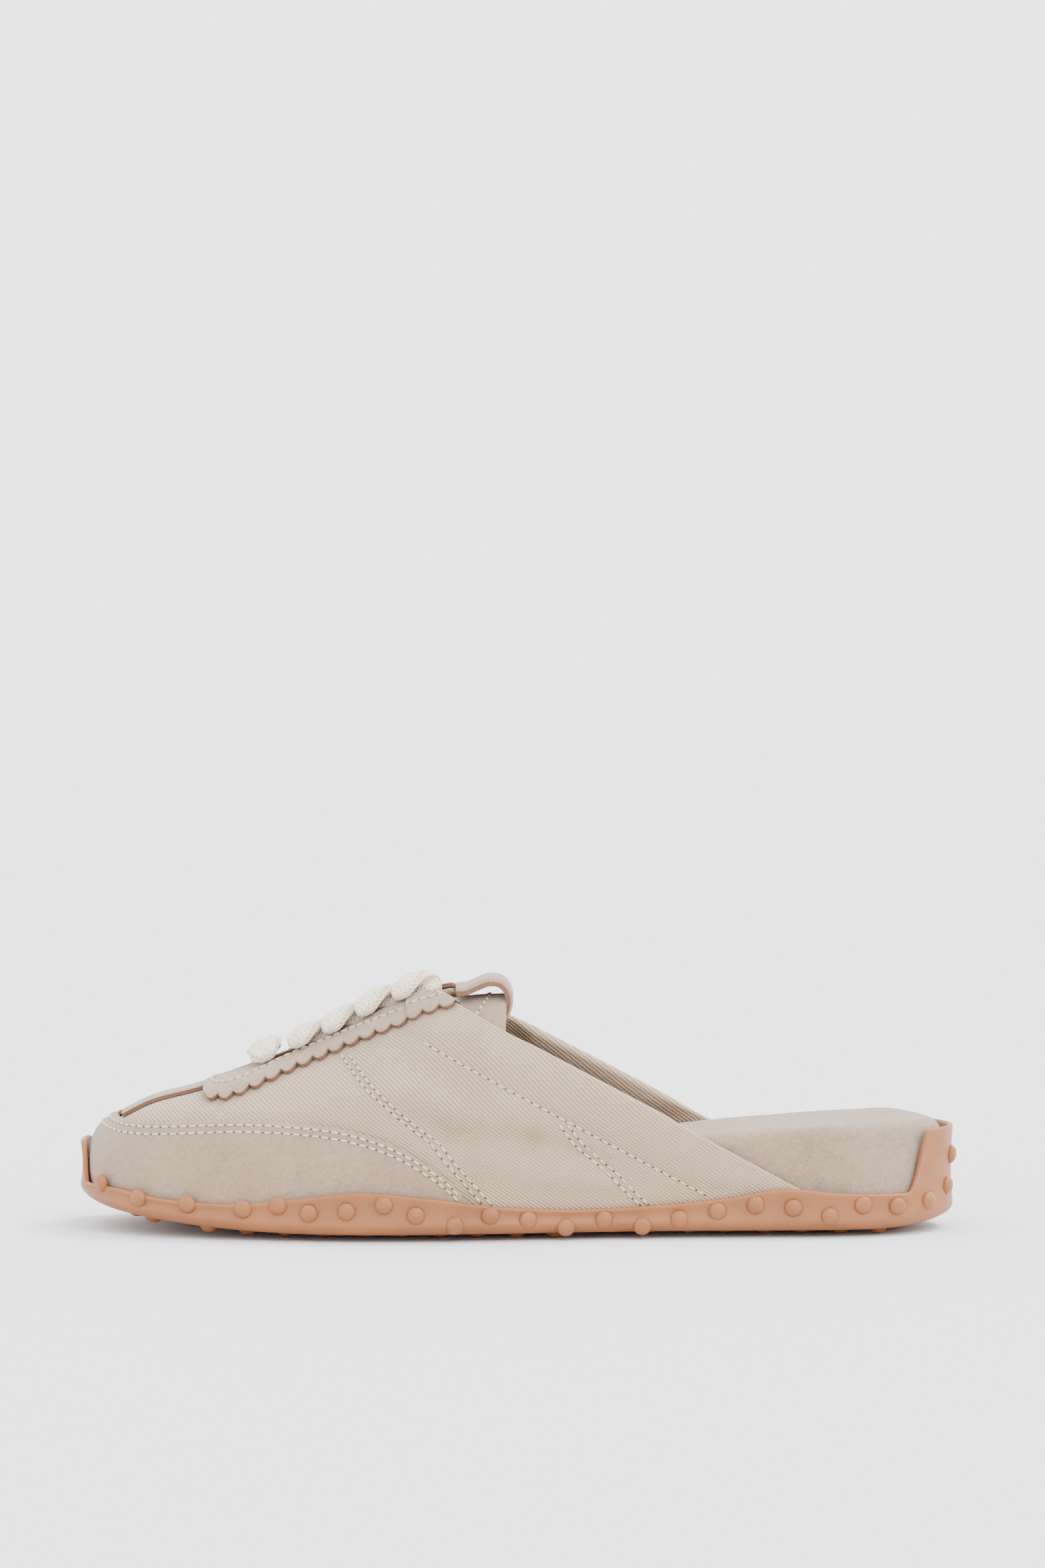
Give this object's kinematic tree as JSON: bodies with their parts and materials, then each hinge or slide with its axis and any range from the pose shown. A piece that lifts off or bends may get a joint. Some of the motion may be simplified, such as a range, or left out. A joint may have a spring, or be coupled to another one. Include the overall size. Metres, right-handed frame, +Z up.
{
  "type": "sneaker mule",
  "caption": "Backless lace-up sneaker mule with a suede toe guard and lace stay on a cotton twill upper, a thick suede footbed and a studded rubber cup sole.",
  "frame": {"origin": "on the floor under the middle of the shoe's box", "axes": "+X from toe to heel, +Y towards the inner side of the foot, +Z up"},
  "size_m": [0.2624, 0.0912, 0.0782],
  "materials": {
    "rubber": "satin gum rubber",
    "footbed_suede": "napped suede",
    "twill": "cotton twill",
    "suede": "napped suede",
    "lace_cotton": "knitted cotton"
  },
  "bodies": {
    "root": {"outsole": "rubber", "footbed": "footbed_suede", "upper": "twill", "toe_guard": "suede", "toe_strip": "suede", "eyestay": "suede", "tongue": "suede", "pull_loop": "suede", "lace_bar": "lace_cotton", "lace_cross_1": "lace_cotton", "lace_cross_2": "lace_cotton", "lace_cross_3": "lace_cotton", "lace_cross_4": "lace_cotton"}
  },
  "joints": []
}
